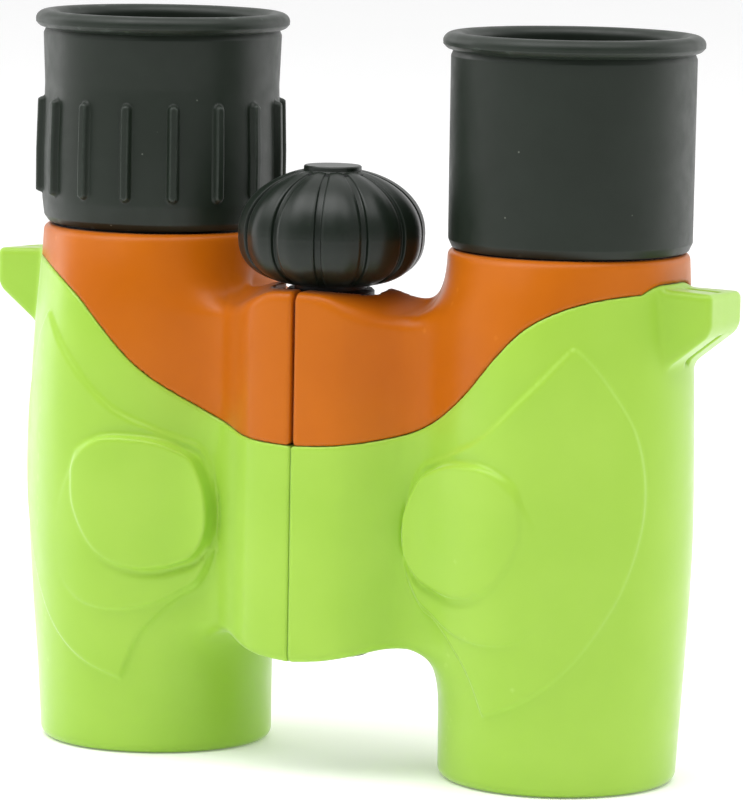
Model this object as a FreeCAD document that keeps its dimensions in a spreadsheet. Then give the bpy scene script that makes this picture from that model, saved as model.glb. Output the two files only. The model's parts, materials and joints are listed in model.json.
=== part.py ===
"""Compact centre-focus binoculars for a child, with roof prisms: two straight barrels on one hinge.

Millimetres, +Z up, standing on the objective ends with the eyecups up. X runs from the right-hand
barrel (-X) to the left-hand barrel (+X) and -Y is the ridge side that the fingers hold. The origin
is the centre of the rest plane. The hinge, the focus wheel and the spindle share one vertical axis.
"""
import FreeCAD, Part
import math
import os
import Sketcher

# ---------------------------------------------------------------- driving dimensions
SIZES = {
    # layout of the axes
    "half_spacing": 30.2, "barrel_y": 2.195, "hinge_y": -6.975, "arm_angle": 16.89, "arm_reach": 31.56,
    # fits
    "slip": 0.05, "nest": 0.03, "side_gap": 0.3, "seam_gap": 0.25,
    # chassis
    "tube_outer": 14.3, "tube_bore": 12.9, "tube_base": 1.6, "tube_top": 69.6, "arm_width": 7.0,
    "knuckle": 8.0, "pin": 3.0, "sleeve": 4.0, "left_low_base": 18.1, "left_low_top": 22.6,
    "right_low_base": 23.0, "right_low_top": 28.0, "right_high_base": 51.0, "right_high_top": 55.6,
    "left_high_base": 56.0, "left_high_top": 60.2, "window_base": 33.4, "window_top": 46.2,
    "window_width": 7.4,
    # armour shells
    "armour_bore": 14.4, "foot_bore": 13.2, "foot_lip": 1.4, "armour_top": 70.1, "ridge": 12.1,
    "ridge_cavity": 9.0, "ridge_base": 15.4, "ridge_top": 64.4, "ridge_wall": 1.5, "web_near": 4.0,
    "web_far": 22.0, "web_front": 4.0, "web_rear": 10.3, "web_base": 17.4, "web_top": 61.5,
    "rear_back": 3.0, "rear_reach": 13.8, "rear_top": 61.5, "channel_far": 18.0,
    "channel_base": 17.9, "channel_top": 60.4, "cap_hole": 6.6, "collar_hole": 7.7,
    "colour_gap": 0.25, "lug_tip": 52.2, "lug_width": 11.4, "lug_round": 0.9, "lug_top": 65.6,
    "lug_mid": 60.8, "lug_base": 56.0, "lug_foot": 46.4, "slot_long": 4.6, "slot_wide": 1.4,
    "slot_x": 49.0,
    # objective
    "cell_outer": 12.85, "objective_base": 3.5, "objective_top": 14.0, "objective_seat": 11.5,
    "objective_lens": 11.4, "objective_shelf": 12.9, "objective_clear": 10.6, "crown_base": 7.2,
    "crown_top": 11.6, "flint_rim": 10.4, "flint_top": 12.85, "objective_curve": 45.0,
    "retainer_base": 4.2, "retainer_top": 8.4,
    # moving focus cell
    "focus_outer": 12.6, "focus_bore": 11.0, "focus_base": 36.5, "focus_top": 43.0, "focus_lens": 10.9,
    "focus_lens_base": 37.6, "focus_lens_top": 41.9, "focus_curve": 60.0, "fork_width": 6.0,
    "fork_reach": 5.5, "left_fork_base": 37.0, "right_fork_base": 41.0, "fork_thick": 1.6,
    # prisms
    "cage_outer": 12.8, "cage_base": 46.5, "cage_shelf": 48.0, "cage_top": 63.4, "pocket_long": 17.4,
    "pocket_wide": 13.2, "cage_window": 6.2, "prism_base": 48.1, "aperture": 12.5, "prism_wide": 13.0,
    "clip_base": 63.45, "clip_top": 64.0,
    # eyepieces
    "eyepiece_bore": 10.4, "eyepiece_base": 64.6, "eyepiece_top": 83.5, "flange": 14.2,
    "flange_base": 69.7, "flange_top": 70.3, "eye_lens": 10.3, "stop_base": 65.4, "stop_top": 66.4,
    "stop_window": 6.5, "field_base": 68.0, "field_top": 72.2, "eye_base": 75.2, "eye_top": 79.8,
    "eyepiece_curve": 30.0, "spacer_bore": 9.3, "spacer_base": 70.8, "spacer_top": 76.6,
    "eye_ring_base": 78.45, "eye_ring_top": 82.3, "shelf_base": 66.6, "shelf_top": 67.9,
    "shelf_bore": 9.4,
    # dioptre side
    "guide_bore": 11.95, "guide_top": 81.0, "slider": 11.6, "slider_base": 66.3, "slider_top": 83.0,
    "dioptre_bore": 13.2, "dioptre_outer": 14.0, "dioptre_base": 70.6, "dioptre_lip": 81.4,
    "dioptre_top": 82.4, "dioptre_lip_bore": 12.3,
    # eyecups
    "cup_wall": 16.0, "cup_mouth": 14.1, "cup_bead": 17.12, "bead_height": 2.4, "cup_step": 84.0,
    "left_cup_base": 70.4, "left_cup_rim": 98.3, "right_cup_base": 70.4, "right_cup_rim": 98.8,
    "rib_outer": 16.9, "rib_width": 1.4, "rib_base": 74.2, "rib_top": 87.3,
    # focus wheel and spindle
    "wheel_outer": 12.34, "wheel_middle": 71.3, "wheel_base": 64.6, "wheel_crown": 79.9,
    "wheel_base_r": 5.9, "wheel_crown_r": 4.1, "hub": 4.8, "hub_base": 62.0, "hub_top": 79.2,
    "collar": 5.8, "collar_base": 63.2, "collar_top": 64.0, "disc": 3.81, "disc_top": 80.15,
    "spindle": 2.5, "thread": 2.2, "spindle_base": 29.4, "thread_top": 49.0, "spindle_top": 76.0,
    "clip_r": 4.4, "clip_ring_base": 49.3, "clip_ring_top": 49.9, "sleeve_bore": 2.6,
    "sleeve_flange": 5.4, "sleeve_base": 50.2, "sleeve_step": 50.9, "sleeve_top": 60.6,
    # carriage
    "carriage": 7.0, "carriage_base": 33.0, "carriage_top": 46.0, "groove_floor": 5.2, "nut": 4.0,
    "nut_bore": 2.25, "left_groove_base": 36.7, "left_groove_top": 38.9, "right_groove_base": 40.7,
    "right_groove_top": 42.9,
    # hinge hardware
    "pin_base": 16.9, "pin_head": 5.0, "pin_head_top": 18.0, "pin_top": 27.8, "cap": 6.2,
    "cap_base": 15.5, "cap_top": 16.8, "washer": 6.6,
}
RIB_COUNT = 16
RIB_PHASE = -57.0             # degrees: where the first rib stands round the barrel axis
FOLD_LIMIT = 40.0             # degrees that the right half folds back
REAR_SECTOR = 68.0            # degrees: where each half's hinge cover ends at the back
FAR = 60.0                    # beyond everything, for cutting blocks
SIDES = {"left": 1, "right": -1}

doc = FreeCAD.newDocument("binoculars")
sheet = doc.addObject("Spreadsheet::Sheet", "dims")
for row, (alias, size) in enumerate(SIZES.items(), start=1):
    sheet.set("A%d" % row, alias)
    sheet.set("B%d" % row, str(size))
    sheet.setAlias("B%d" % row, alias)
doc.recompute()
subparts = []


# ---------------------------------------------------------------- helpers
def words(terms):
    """Split "a - 0.5*b" into signed (factor, alias) pairs."""
    pairs, sign = [], 1
    for word in terms.split():
        if word in ("+", "-"):
            sign = 1 if word == "+" else -1
            continue
        factor, star, alias = word.rpartition("*")
        pairs.append((sign * (float(factor) if star else 1.0), alias))
        sign = 1
    return pairs


def value(terms):
    """The number that a sum of sheet aliases comes to."""
    return sum(factor * SIZES[alias] for factor, alias in words(terms))


def formula(terms):
    """The same sum as an expression on the spreadsheet."""
    return " + ".join("(%r) * dims.%s" % pair for pair in words(terms))


def bind(obj, **sizes):
    for name, terms in sizes.items():
        obj.setExpression(name, formula(terms))
    return obj


def place(obj, x=None, y=None, z=None):
    for letter, terms in (("x", x), ("y", y), ("z", z)):
        if terms:
            obj.setExpression(".Placement.Base." + letter, formula(terms))
    return obj


def on_barrel(obj, side, z=None):
    x = "half_spacing" if SIDES[side] > 0 else "-1*half_spacing"
    return place(obj, x, "barrel_y", z)


def on_hinge(obj, z=None):
    return place(obj, None, "hinge_y", z)


def keep(obj, name):
    """Name the finished object after its node and list it for export."""
    obj.Label = name
    subparts.append(obj)
    return obj


def outline(body, name, corners, role):
    """A closed polygon sketch on one of the body's own planes, every corner bound to the sheet."""
    sketch = body.newObject("Sketcher::SketchObject", name + "_sketch")
    plane = next(f for f in body.Origin.OriginFeatures if f.Role == role)
    sketch.AttachmentSupport = [(plane, "")]
    sketch.MapMode = "FlatFace"
    points = [FreeCAD.Vector(value(x), value(y), 0) for x, y in corners]
    count = len(points)
    for i in range(count):
        sketch.addGeometry(Part.LineSegment(points[i], points[(i + 1) % count]))
    for i in range(count):
        sketch.addConstraint(Sketcher.Constraint("Coincident", i, 2, (i + 1) % count, 1))
    for i, (x, y) in enumerate(corners):
        for kind, terms in (("DistanceX", x), ("DistanceY", y)):
            index = sketch.addConstraint(Sketcher.Constraint(kind, -1, 1, i, 1, value(terms)))
            sketch.setExpression("Constraints[%d]" % index, formula(terms))
    return sketch


def turned(name, corners):
    """A turned piece: a closed outline of (radius, height) corners revolved about Z."""
    body = doc.addObject("PartDesign::Body", name)
    sketch = outline(body, name, corners, "XZ_Plane")
    turn = body.newObject("PartDesign::Revolution", name + "_turn")
    turn.Profile = sketch
    turn.ReferenceAxis = (sketch, ["V_Axis"])
    turn.Angle = 360
    body.Tip = turn
    return keep(body, name)


def ring(name, inner, outer, base, top):
    return turned(name, [(inner, base), (outer, base), (outer, top), (inner, top)])


def cylinder(name, radius, base, top):
    obj = doc.addObject("Part::Cylinder", name)
    return bind(obj, Radius=radius, Height=top + " - " + base)


def boolean(kind, name, base, tool):
    obj = doc.addObject("Part::" + kind, name)
    obj.Base = base
    obj.Tool = tool
    return obj


def fused(name, shapes):
    obj = doc.addObject("Part::MultiFuse", name)
    obj.Shapes = shapes
    return obj


def sphere(name, radius, side, z):
    return on_barrel(bind(doc.addObject("Part::Sphere", name), Radius=radius), side, z)


def lens(name, side, radius, curve, base, top, faces):
    """A round lens: faces says how its lower and upper face are shaped: convex, concave or flat."""
    blank = on_barrel(cylinder(name + "_blank", radius, base, top), side, base)
    for face, shape in zip(("lower", "upper"), faces):
        if shape == "flat":
            continue
        inward = (face == "lower") == (shape == "convex")
        centre = (base if face == "lower" else top) + (" + " if inward else " - ") + curve
        ball = sphere("%s_%s_ball" % (name, face), curve, side, centre)
        kind = "Common" if shape == "convex" else "Cut"
        blank = boolean(kind, "%s_%s" % (name, face), blank, ball)
    return keep(blank, name)


def bar_to_hinge(name, side, length, width, base, height):
    """A flat bar from the hinge axis out towards one barrel."""
    bar = bind(doc.addObject("Part::Box", name), Length=length, Width=width, Height=height)
    turn = SIZES["arm_angle"] if SIDES[side] > 0 else 180 - SIZES["arm_angle"]
    across = FreeCAD.Rotation(FreeCAD.Vector(0, 0, 1), turn)
    shift = across.multVec(FreeCAD.Vector(0, -SIZES[width] / 2, 0))
    bar.Placement = FreeCAD.Placement(
        FreeCAD.Vector(shift.x, shift.y + SIZES["hinge_y"], SIZES[base]), across)
    bar.setExpression(".Placement.Base.z", formula(base))
    return bar


# ---------------------------------------------------------------- chassis of each half
def chassis(side, knuckles):
    """The moulded frame: a barrel tube with two arms that end in hinge knuckles."""
    name = side + "_chassis"
    solids = [on_barrel(cylinder(name + "_tube", "tube_outer", "tube_base", "tube_top"), side, "tube_base")]
    for i, (base, top, _) in enumerate(knuckles):
        height = top + " - " + base
        solids.append(bar_to_hinge("%s_arm_%d" % (name, i), side, "arm_reach - tube_bore", "arm_width",
                                   base, height))
        solids.append(on_hinge(cylinder("%s_knuckle_%d" % (name, i), "knuckle", base, top), base))
    frame = fused(name + "_frame", solids)
    bore = on_barrel(cylinder(name + "_bore", "tube_bore", "tube_base", "tube_top"), side, "tube_base")
    frame = boolean("Cut", name + "_bored", frame, bore)
    fit = "nest" if side == "left" else "slip"
    for i, (base, top, bore) in enumerate(knuckles):
        hole = cylinder("%s_hole_%d" % (name, i), bore + " + " + fit, base, top)
        frame = boolean("Cut", "%s_drilled_%d" % (name, i), frame, on_hinge(hole, base))
    window = bar_to_hinge(name + "_window", side, "arm_reach", "window_width", "window_base",
                          "window_top - window_base")
    keep(boolean("Cut", name, frame, window), name)


# ---------------------------------------------------------------- armour shells
STATIONS = [          # height, front, outer, inner and back half-width of the barrel's outside
    (0.0, 16.0, 15.8, 15.7, 15.8),
    (12.0, 17.7, 16.4, 16.0, 16.0),
    (24.0, 18.8, 17.0, 16.1, 16.2),
    (36.0, 19.5, 17.3, 16.1, 16.3),
    (48.0, 19.8, 17.1, 16.1, 16.3),
    (60.0, 19.6, 16.5, 16.1, 16.2),
    (SIZES["armour_top"], 18.6, 15.9, 15.9, 16.0),
]
COLOUR_LINE = [       # distance from the middle plane, height of the line between the two shells
    (-1.0, 44.2), (7.4, 44.8), (14.2, 46.2), (19.4, 49.0), (24.4, 53.0), (28.8, 57.9), (31.9, 61.1),
    (35.3, 63.3), (41.5, 65.4), (56.0, 65.7),
]


def barrel_section(sign, z, front, outer, inner, back):
    """Four elliptical quarters about the barrel axis."""
    centre = FreeCAD.Vector(sign * SIZES["half_spacing"], SIZES["barrel_y"], z)
    edges = []
    for x, y in ((outer, -front), (outer, back), (-inner, back), (-inner, -front)):
        across = centre + FreeCAD.Vector(sign * x, 0, 0)
        along = centre + FreeCAD.Vector(0, y, 0)
        if abs(x) == abs(y):
            halfway = centre + FreeCAD.Vector(sign * x, y, 0) * math.sqrt(0.5)
            edges.append(Part.Arc(along, halfway, across).toShape())
            continue
        ends = (across, along) if abs(x) > abs(y) else (along, across)
        ellipse = Part.Ellipse(*ends, centre)
        edges.append(Part.ArcOfEllipse(ellipse, 0, math.pi / 2).toShape())
    return Part.Wire(Part.__sortEdges__(edges))


def prism_block(points, height_vector):
    wire = Part.makePolygon([FreeCAD.Vector(*p) for p in points + points[:1]])
    return Part.Face(wire).extrude(FreeCAD.Vector(*height_vector))


def block(sign, x_span, y_span, z_span):
    """A box between two distances from the middle plane, on the side that sign says."""
    low = min(sign * x for x in x_span)
    return Part.makeBox(x_span[1] - x_span[0], y_span[1] - y_span[0], z_span[1] - z_span[0],
                        FreeCAD.Vector(low, y_span[0], z_span[0]))


def half_outside(side):
    """The outside of one half: the barrel, the half ridge over the hinge, and the web between."""
    sign = SIDES[side]
    hinge_y = SIZES["hinge_y"]
    sections = [barrel_section(sign, *station) for station in STATIONS]
    barrel = Part.makeLoft(sections, True, False)
    base, top = SIZES["ridge_base"], SIZES["ridge_top"]
    ridge = Part.makeCylinder(SIZES["ridge"], top - base, FreeCAD.Vector(0, hinge_y, base))
    gap = SIZES["seam_gap"] * sign
    rear_edge = FAR * math.tan(math.radians(REAR_SECTOR))
    sector = prism_block([(gap, hinge_y - FAR, 0), (sign * FAR, hinge_y - FAR, 0),
                          (sign * FAR, hinge_y + rear_edge, 0), (gap, hinge_y, 0)], (0, 0, 2 * FAR))
    web = block(sign, (SIZES["web_near"], SIZES["web_far"]),
                (hinge_y - SIZES["web_front"], hinge_y + SIZES["web_rear"]),
                (SIZES["web_base"], SIZES["web_top"]))
    body = barrel.fuse([ridge.common(sector), web.common(sector)])
    rear_cut = block(sign, (0, SIZES["rear_reach"]), (hinge_y + SIZES["rear_back"], FAR),
                     (SIZES["rear_top"], 2 * FAR))
    return body.cut(rear_cut)


def half_inside(side):
    """The hollow that the chassis, the hinge and the focus arm lie in."""
    hinge_y, wall = SIZES["hinge_y"], SIZES["ridge_wall"]
    low, high = SIZES["ridge_base"] + wall, SIZES["ridge_top"] - wall

    def well(centre, radius, base, top):
        return Part.makeCylinder(radius, top - base, FreeCAD.Vector(*centre, base))

    axis = (SIDES[side] * SIZES["half_spacing"], SIZES["barrel_y"])
    hinge = (0, hinge_y)
    channel = block(SIDES[side], (SIZES["web_near"], SIZES["channel_far"]),
                    (hinge_y - SIZES["web_front"] + wall, hinge_y + SIZES["web_rear"] - wall),
                    (SIZES["channel_base"], SIZES["channel_top"]))
    return well(axis, SIZES["armour_bore"], SIZES["foot_lip"], 2 * FAR).fuse([
        well(axis, SIZES["foot_bore"], -1, 2 * FAR), well(hinge, SIZES["ridge_cavity"], low, high),
        well(hinge, SIZES["cap_hole"], 0, low + 1), well(hinge, SIZES["collar_hole"], high - 1, FAR + 10),
        channel])


def colour_region(side, above):
    """All space above or below the line where the upper shell meets the lower one."""
    sign = SIDES[side]
    step = SIZES["colour_gap"] / 2 * (1 if above else -1)
    points = [FreeCAD.Vector(sign * x, -FAR, z + step) for x, z in COLOUR_LINE]
    curve = Part.BSplineCurve()
    curve.interpolate(points)
    limit = 2 * FAR if above else -FAR
    first, last = points[0], points[-1]
    corners = [last, FreeCAD.Vector(last.x, -FAR, limit), FreeCAD.Vector(first.x, -FAR, limit), first]
    edges = [curve.toShape()]
    edges += [Part.makeLine(a, b) for a, b in zip(corners[:-1], corners[1:])]
    face = Part.Face(Part.Wire(edges))
    return face.extrude(FreeCAD.Vector(0, 2 * FAR, 0))


def strap_lug(side):
    """The strap lug: a wedge on the barrel's flank with an upright slot."""
    sign = SIDES[side]
    y, half = SIZES["barrel_y"], SIZES["lug_width"] / 2
    root, tip = SIZES["half_spacing"] + SIZES["tube_outer"], SIZES["lug_tip"]
    top, base = SIZES["lug_top"], SIZES["lug_base"]
    profile = [(root, top), (tip, top), (tip, SIZES["lug_mid"]), (SIZES["lug_foot"], base), (root, base)]
    wedge = prism_block([(sign * x, y - half, z) for x, z in profile], (0, 2 * half, 0))
    long, wide = SIZES["slot_long"] / 2, SIZES["slot_wide"] / 2
    slot = block(sign, (SIZES["slot_x"] - long, SIZES["slot_x"] + long), (y - wide, y + wide),
                 (base - 1, top + 1))
    outer = [e for e in wedge.Edges if min(abs(v.X) for v in e.Vertexes) > tip - SIZES["lug_round"]]
    return wedge.makeFillet(SIZES["lug_round"], outer).cut(slot)


def armour(side):
    outside = half_outside(side)
    lug = strap_lug(side)
    inside = half_inside(side)
    shells = {"upper": outside.cut(inside).common(colour_region(side, True)),
              "lower": outside.fuse(lug).cut(inside).common(colour_region(side, False))}
    for level, shape in shells.items():
        shell = doc.addObject("Part::Feature", "%s_%s_armour" % (side, level))
        solids = sorted(shape.removeSplitter().Solids, key=lambda s: s.Volume)
        shell.Shape = solids[-1]
        shell.Placement = FreeCAD.Placement()
        keep(shell, "%s_%s_armour" % (side, level))


# ---------------------------------------------------------------- optics
def objective(side):
    cell = turned(side + "_objective_cell", [
        ("objective_seat", "objective_base"), ("cell_outer", "objective_base"),
        ("cell_outer", "objective_top"), ("objective_clear", "objective_top"),
        ("objective_clear", "objective_shelf"), ("objective_seat", "objective_shelf")])
    on_barrel(cell, side)
    lens(side + "_objective_crown_lens", side, "objective_lens", "objective_curve",
         "crown_base", "crown_top", ("convex", "convex"))
    blank = on_barrel(cylinder(side + "_flint_blank", "objective_lens", "flint_rim", "flint_top"),
                      side, "flint_rim")
    ball = sphere(side + "_flint_ball", "objective_curve + nest", side, "crown_top - objective_curve")
    keep(boolean("Cut", side + "_flint", blank, ball), side + "_objective_flint_lens")
    on_barrel(ring(side + "_objective_retainer", "objective_clear", "objective_seat - nest",
                   "retainer_base", "retainer_top"), side)


def prisms(side):
    """A cage with the half-pentagonal prism under the roof prism, and the clip that holds them."""
    sign = SIDES[side]
    cage = on_barrel(cylinder(side + "_cage_blank", "cage_outer", "cage_base", "cage_top"), side,
                     "cage_base")
    pocket = doc.addObject("Part::Box", side + "_cage_pocket")
    bind(pocket, Length="pocket_long", Width="pocket_wide", Height="cage_top - cage_shelf")
    x = "half_spacing - 0.5*pocket_long" if sign > 0 else "-1*half_spacing - 0.5*pocket_long"
    place(pocket, x, "barrel_y - 0.5*pocket_wide", "cage_shelf")
    window = on_barrel(cylinder(side + "_cage_hole", "cage_window", "cage_base", "cage_top"), side,
                       "cage_base")
    cage = boolean("Cut", side + "_cage_cut", cage, pocket)
    keep(boolean("Cut", side + "_prism_cage", cage, window), side + "_prism_cage")

    half_right = math.radians(67.5)
    leg = 0.5 / math.cos(math.radians(22.5))
    middle = 0.5 * (1 + leg * math.cos(half_right))
    low = [(0, 0), (1, 0), (1 + leg * math.cos(half_right), leg * math.sin(half_right)),
           (math.sqrt(0.5), math.sqrt(0.5))]
    slant = 1.2
    peak = (0.5 + slant / 2, 0.5 + slant / 2 + 0.04)
    roof = [(peak[0] - slant * math.sqrt(0.5), peak[1] - slant * math.sqrt(0.5)), peak,
            (peak[0] - slant, peak[1])]
    for label, corners in (("half_penta_prism", low), ("roof_prism", roof)):
        name = "%s_%s" % (side, label)
        body = doc.addObject("PartDesign::Body", name + "_glass")
        scaled = [("%r*aperture" % (x - middle + 0.03), "%r*aperture + prism_base" % z) for x, z in corners]
        sketch = outline(body, name, scaled, "XZ_Plane")
        pad = body.newObject("PartDesign::Pad", name + "_pad")
        pad.Profile = sketch
        pad.setExpression("Length", formula("prism_wide"))
        pad.Midplane = True
        body.Tip = pad
        if label == "half_penta_prism":
            keep(on_barrel(body, side), name)
            continue
        on_barrel(body, side)
        keep(boolean("Common", name + "_roofed", body, roof_bar(side, scaled)), name)
    on_barrel(ring(side + "_prism_clip", "cage_window", "cage_outer", "clip_base", "clip_top"), side)


def roof_bar(side, corners):
    """A square bar whose edge is the roof ridge, along the prism's third face."""
    start = FreeCAD.Vector(value(corners[0][0]), 0, value(corners[0][1]))
    end = FreeCAD.Vector(value(corners[2][0]), 0, value(corners[2][1]))
    along = (end - start).normalize()
    inward = FreeCAD.Vector(along.z, 0, -along.x)
    width = 3 * SIZES["aperture"]
    bar = doc.addObject("Part::Box", side + "_roof_bar")
    bar.setExpression("Length", formula("3*aperture"))
    bar.setExpression("Width", formula("3*aperture"))
    bar.setExpression("Height", formula("3*aperture"))
    first = (inward + FreeCAD.Vector(0, 1, 0)).normalize()
    second = (inward - FreeCAD.Vector(0, 1, 0)).normalize()
    third = first.cross(second)
    turn = FreeCAD.Rotation(first, second, third, "XYZ")
    centre = FreeCAD.Vector(SIDES[side] * SIZES["half_spacing"], SIZES["barrel_y"], 0)
    corner = centre + (start + end) * 0.5 - third * (width / 2)
    bar.Placement = FreeCAD.Placement(corner, turn)
    return bar


def eyepiece(side):
    """The eyepiece: a tube on the left, and on the right a keyed slider in a fixed guide."""
    if side == "left":
        tube = turned("left_eyepiece_tube", [
            ("eyepiece_bore", "eyepiece_base"), ("cell_outer", "eyepiece_base"),
            ("cell_outer", "flange_base"), ("flange", "flange_base"), ("flange", "flange_top"),
            ("cell_outer", "flange_top"), ("cell_outer", "eyepiece_top"),
            ("eyepiece_bore", "eyepiece_top"), ("eyepiece_bore", "shelf_top"),
            ("shelf_bore", "shelf_top"), ("shelf_bore", "shelf_base"), ("eyepiece_bore", "shelf_base")])
        on_barrel(tube, side)
    else:
        on_barrel(ring("right_eyepiece_guide", "guide_bore", "cell_outer", "eyepiece_base", "guide_top"),
                  side)
        slider = turned("right_eyepiece_slider", [
            ("shelf_bore", "slider_base"), ("slider", "slider_base"), ("slider", "slider_top"),
            ("eyepiece_bore", "slider_top"), ("eyepiece_bore", "shelf_top"), ("shelf_bore", "shelf_top")])
        on_barrel(slider, side)
    if side == "left":
        stop = ring("left_field_stop", "stop_window", "eyepiece_bore - nest", "stop_base", "stop_top")
    else:
        stop = ring("right_field_stop", "stop_window", "shelf_bore - nest", "slider_base + side_gap",
                    "shelf_top - side_gap")
    on_barrel(stop, side)
    lens(side + "_field_lens", side, "eye_lens", "eyepiece_curve", "field_base", "field_top",
         ("flat", "convex"))
    lens(side + "_eye_lens", side, "eye_lens", "eyepiece_curve", "eye_base", "eye_top",
         ("convex", "convex"))
    on_barrel(ring(side + "_lens_spacer", "spacer_bore", "eye_lens", "spacer_base", "spacer_top"), side)
    on_barrel(ring(side + "_eye_lens_ring", "spacer_bore", "eye_lens", "eye_ring_base", "eye_ring_top"),
              side)


# ---------------------------------------------------------------- eyecups
def cup_corners(side, bore):
    base, rim = side + "_cup_base", side + "_cup_rim"
    return [(bore, base), ("cup_wall", base), ("cup_wall", rim + " - bead_height"),
            ("cup_bead", rim + " - 0.75*bead_height"), ("cup_bead", rim + " - 0.25*bead_height"),
            ("cup_wall + 0.5*cup_bead - 0.5*cup_wall", rim), ("cup_mouth + side_gap", rim),
            ("cup_mouth", rim + " - 0.25*bead_height"), ("cup_mouth", "cup_step"),
            (bore, "cup_step - 0.5*bead_height")]


def eyecups():
    on_barrel(turned("left_eyecup", cup_corners("left", "cell_outer + nest")), "left")
    wall = on_barrel(turned("right_eyecup_wall", cup_corners("right", "dioptre_outer + nest")), "right")
    subparts.remove(wall)
    ribs = [wall]
    axis = FreeCAD.Vector(0, 0, 1)
    centre = FreeCAD.Vector(-SIZES["half_spacing"], SIZES["barrel_y"], 0)
    for i in range(RIB_COUNT):
        rib = doc.addObject("Part::Box", "rib_%02d" % i)
        bind(rib, Length="rib_outer - cup_wall + 0.5*rib_width", Width="rib_width",
             Height="rib_top - rib_base")
        turn = FreeCAD.Rotation(axis, RIB_PHASE + i * 360.0 / RIB_COUNT)
        reach = SIZES["cup_wall"] - 0.5 * SIZES["rib_width"]
        corner = centre + turn.multVec(FreeCAD.Vector(reach, -SIZES["rib_width"] / 2, SIZES["rib_base"]))
        rib.Placement = FreeCAD.Placement(corner, turn)
        rib.setExpression(".Placement.Base.z", formula("rib_base"))
        ribs.append(rib)
    keep(fused("right_eyecup", ribs), "right_eyecup")
    on_barrel(turned("dioptre_ring", [
        ("dioptre_bore", "dioptre_base"), ("dioptre_outer", "dioptre_base"),
        ("dioptre_outer", "dioptre_top"), ("dioptre_lip_bore", "dioptre_top"),
        ("dioptre_lip_bore", "dioptre_lip"), ("dioptre_bore", "dioptre_lip")]), "right")


# ---------------------------------------------------------------- focusing
def focus_cell(side):
    """The sliding lens cell with the flat arm that reaches into the carriage's groove."""
    name = side + "_focus_cell"
    rim = on_barrel(cylinder(name + "_rim", "focus_outer", "focus_base", "focus_top"), side, "focus_base")
    arm = bar_to_hinge(name + "_arm", side, "arm_reach - focus_bore", "fork_width", side + "_fork_base",
                       "fork_thick")
    blank = fused(name + "_blank", [rim, arm])
    bore = on_barrel(cylinder(name + "_bore", "focus_bore", "focus_base", "focus_top"), side, "focus_base")
    throat = on_hinge(cylinder(name + "_throat", "fork_reach", "carriage_base", "carriage_top"),
                      "carriage_base")
    cut = boolean("Cut", name + "_bored", blank, bore)
    keep(boolean("Cut", name, cut, throat), name)
    lens(side + "_focus_lens", side, "focus_lens", "focus_curve", "focus_lens_base",
         "focus_lens_top", ("concave", "concave"))


def focus_drive():
    on_hinge(turned("focus_carriage", [
        ("nut + nest", "carriage_base"), ("carriage", "carriage_base"),
        ("carriage", "left_groove_base"), ("groove_floor", "left_groove_base"),
        ("groove_floor", "left_groove_top"), ("carriage", "left_groove_top"),
        ("carriage", "right_groove_base"), ("groove_floor", "right_groove_base"),
        ("groove_floor", "right_groove_top"), ("carriage", "right_groove_top"),
        ("carriage", "carriage_top"), ("nut + nest", "carriage_top")]))
    on_hinge(ring("focus_nut", "nut_bore", "nut", "carriage_base", "carriage_top"))
    on_hinge(turned("focus_spindle", [
        ("0*spindle", "spindle_base"), ("thread", "spindle_base"), ("thread", "thread_top"),
        ("spindle", "thread_top"), ("spindle", "spindle_top"), ("0*spindle", "spindle_top")]))
    on_hinge(ring("spindle_clip", "spindle + nest", "clip_r", "clip_ring_base", "clip_ring_top"))
    on_hinge(turned("focus_wheel_hub", [
        ("spindle + nest", "hub_base"), ("sleeve", "hub_base"), ("sleeve", "collar_base"),
        ("collar", "collar_base"), ("collar", "collar_top - side_gap"),
        ("collar - side_gap", "collar_top"), ("hub", "collar_top"),
        ("hub", "hub_top"), ("spindle + nest", "hub_top")]))
    on_hinge(turned("focus_wheel_cap", [
        ("0*disc", "hub_top + nest"), ("disc", "hub_top + nest"), ("disc", "disc_top - 0.5*side_gap"),
        ("disc - 0.5*side_gap", "disc_top"), ("0*disc", "disc_top")]))
    wheel_grip()


def wheel_grip():
    """The rubber ball: two quarter ellipses about the equator, bored for the hub and the cap."""
    equator = FreeCAD.Vector(SIZES["wheel_outer"], 0, SIZES["wheel_middle"])
    foot = FreeCAD.Vector(SIZES["wheel_base_r"], 0, SIZES["wheel_base"])
    crown = FreeCAD.Vector(SIZES["wheel_crown_r"], 0, SIZES["wheel_crown"])
    bore = SIZES["hub"] + SIZES["nest"]
    mouth = SIZES["disc"] + SIZES["nest"]

    def bulge(end, share):
        """A point on the quarter ellipse from the equator towards the end."""
        angle = math.radians(90 * share)
        reach = SIZES["wheel_outer"] - end.x
        return FreeCAD.Vector(end.x + reach * math.cos(angle), 0,
                              equator.z + (end.z - equator.z) * math.sin(angle))

    lower = Part.BSplineCurve()
    lower.interpolate([foot, bulge(foot, 0.75), bulge(foot, 0.5), bulge(foot, 0.25), equator])
    upper = Part.BSplineCurve()
    upper.interpolate([equator, bulge(crown, 0.25), bulge(crown, 0.5), bulge(crown, 0.75), crown])
    top_of_bore = SIZES["hub_top"] + SIZES["nest"]
    inner = [crown, FreeCAD.Vector(mouth, 0, crown.z), FreeCAD.Vector(mouth, 0, top_of_bore),
             FreeCAD.Vector(bore, 0, top_of_bore),
             FreeCAD.Vector(bore, 0, SIZES["wheel_base"]), foot]
    edges = [lower.toShape(), upper.toShape()]
    edges += [Part.makeLine(a, b) for a, b in zip(inner[:-1], inner[1:])]
    face = Part.Face(Part.Wire(edges))
    grip = doc.addObject("Part::Feature", "focus_wheel_grip")
    grip.Shape = face.revolve(FreeCAD.Vector(0, 0, 0), FreeCAD.Vector(0, 0, 1), 360)
    keep(on_hinge(grip), "focus_wheel_grip")


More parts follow.
